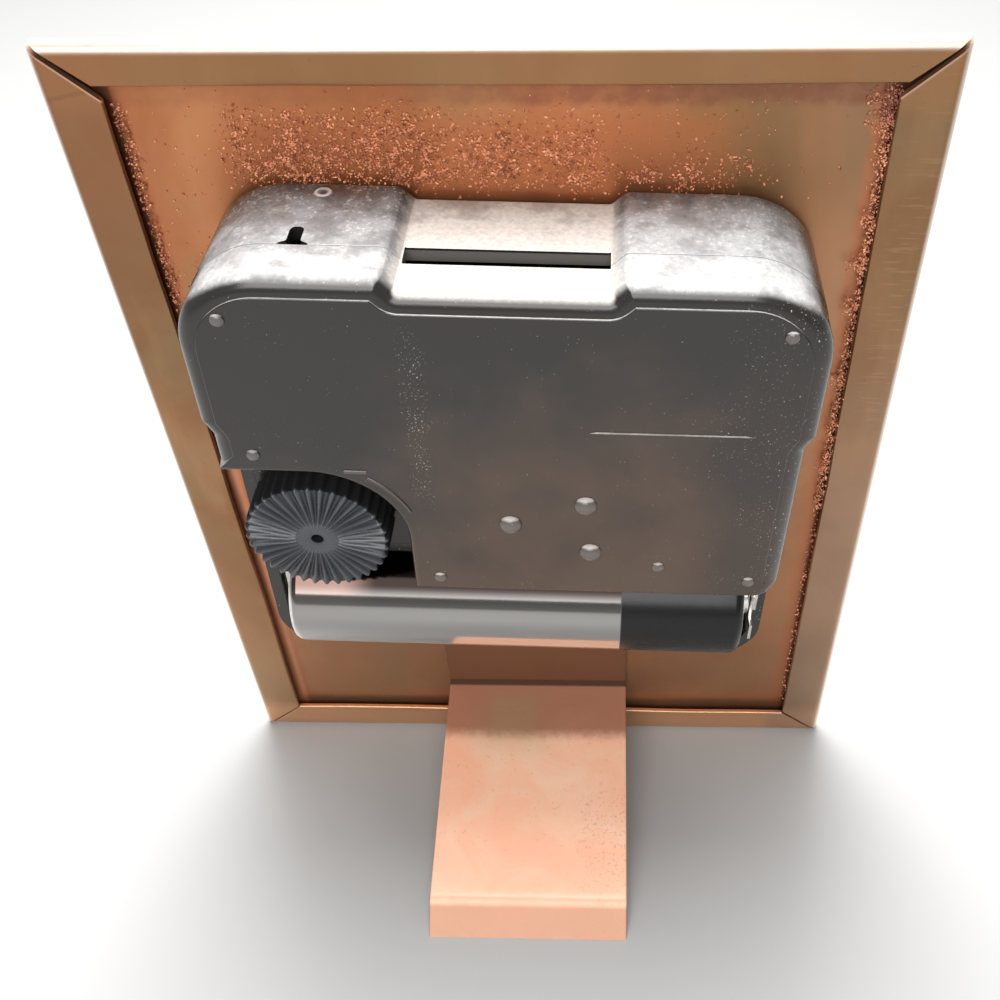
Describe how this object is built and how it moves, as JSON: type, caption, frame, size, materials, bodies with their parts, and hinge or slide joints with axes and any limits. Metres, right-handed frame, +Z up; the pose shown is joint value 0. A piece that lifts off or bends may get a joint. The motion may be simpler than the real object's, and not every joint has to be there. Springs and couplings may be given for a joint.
{
  "type": "table clock",
  "caption": "Small table clock: a folded copper plate leans on a bent strip leg, with a black quartz movement, setting knob and battery on its back and hands in front.",
  "frame": {"origin": "on the table, under the centre of the clock's bounding box", "axes": "+Z up, -Y the side the dial faces, +Y the movement and leg side, +X to the right as the dial is read"},
  "size_m": [0.0772, 0.0378, 0.0992],
  "materials": {
    "copper": "tarnished, brushed",
    "leg_copper": "brushed, lightly tarnished",
    "solder": "satin",
    "case_plastic": "moulded satin, dusty",
    "cover_plastic": "moulded gloss, dusty",
    "brass": "turned",
    "rubber": "matte",
    "frame_plastic": "moulded",
    "wheel_plastic": "moulded",
    "pipe_brass": "turned",
    "arbor_steel": "polished",
    "magnet": "sintered",
    "lamination": "stamped",
    "winding": "enamelled wire",
    "board": "lacquered",
    "chip_resin": "cast resin",
    "knob_plastic": "moulded gloss",
    "contact_nickel": "nickel plated",
    "cell_metal": "polished",
    "cell_sleeve": "foil sleeve",
    "hand_black": "satin",
    "hand_red": "satin"
  },
  "bodies": {
    "clock": {"copper_body": "copper", "stand_leg": "leg_copper", "solder_seam": "solder", "front_case": "case_plastic", "rear_cover": "cover_plastic", "threaded_bush": "brass", "hex_nut": "brass", "dial_washer": "brass", "rubber_washer": "rubber", "middle_plate": "frame_plastic", "stator": "lamination", "coil_core": "lamination", "coil_bobbin": "frame_plastic", "coil_winding": "winding", "circuit_board": "board", "quartz_crystal": "arbor_steel", "chip_cap": "chip_resin", "positive_contact": "contact_nickel", "negative_contact": "contact_nickel"},
    "rotor": {"rotor_pinion": "frame_plastic", "rotor_magnet": "magnet"},
    "idler": {"idler_wheel": "wheel_plastic"},
    "seconds": {"seconds_wheel": "wheel_plastic", "seconds_arbor": "arbor_steel", "second_hand": "hand_red"},
    "third": {"third_wheel": "wheel_plastic"},
    "centre": {"centre_wheel": "wheel_plastic"},
    "setting": {"setting_knob": "knob_plastic", "setting_pinion": "wheel_plastic"},
    "motion": {"motion_wheel": "wheel_plastic"},
    "minutes": {"minute_pipe": "pipe_brass", "minute_hand": "hand_black"},
    "hours": {"hour_wheel": "wheel_plastic", "hour_hand": "hand_black"},
    "battery": {"battery_can": "cell_metal", "battery_sleeve": "cell_sleeve", "battery_end_plate": "cell_metal"}
  },
  "joints": [
    {"name": "rotor_spin", "type": "hinge", "parent": "clock", "child": "rotor", "pos_m": [-0.00768, -0.00454, 0.05331], "axis": [0, 0.9976, -0.0698], "continuous": true},
    {"name": "idler_spin", "type": "hinge", "parent": "clock", "child": "idler", "pos_m": [-0.00729, -0.00407, 0.05991], "axis": [0, 0.9976, -0.0698], "continuous": true},
    {"name": "seconds_spin", "type": "hinge", "parent": "clock", "child": "seconds", "pos_m": [0, -0.00426, 0.05724], "axis": [0, 0.9976, -0.0698], "continuous": true},
    {"name": "third_spin", "type": "hinge", "parent": "clock", "child": "third", "pos_m": [0.00521, -0.00386, 0.06298], "axis": [0, 0.9976, -0.0698], "continuous": true},
    {"name": "centre_spin", "type": "hinge", "parent": "clock", "child": "centre", "pos_m": [0, -0.00426, 0.05724], "axis": [0, 0.9976, -0.0698], "continuous": true},
    {"name": "knob_turn", "type": "hinge", "parent": "clock", "child": "setting", "pos_m": [0.01918, -0.00442, 0.05495], "axis": [0, 0.9976, -0.0698], "continuous": true},
    {"name": "motion_spin", "type": "hinge", "parent": "clock", "child": "motion", "pos_m": [0.00959, -0.00423, 0.05776], "axis": [0, 0.9976, -0.0698], "continuous": true},
    {"name": "minutes_spin", "type": "hinge", "parent": "clock", "child": "minutes", "pos_m": [0, -0.00426, 0.05724], "axis": [0, 0.9976, -0.0698], "continuous": true},
    {"name": "hours_spin", "type": "hinge", "parent": "clock", "child": "hours", "pos_m": [0, -0.00426, 0.05724], "axis": [0, 0.9976, -0.0698], "continuous": true},
    {"name": "battery_out", "type": "slide", "parent": "clock", "child": "battery", "axis": [0, 0.9976, -0.0698], "range_m": [0, 0.018]}
  ],
  "couplings": [
    {"joint": "idler_spin", "follows": "rotor_spin", "ratio": -0.16667},
    {"joint": "seconds_spin", "follows": "rotor_spin", "ratio": 0.033333},
    {"joint": "third_spin", "follows": "rotor_spin", "ratio": -0.0044444},
    {"joint": "centre_spin", "follows": "rotor_spin", "ratio": 0.00055556},
    {"joint": "motion_spin", "follows": "knob_turn", "ratio": -0.38889},
    {"joint": "minutes_spin", "follows": "knob_turn", "ratio": 1.1667},
    {"joint": "hours_spin", "follows": "knob_turn", "ratio": 0.097222}
  ]
}
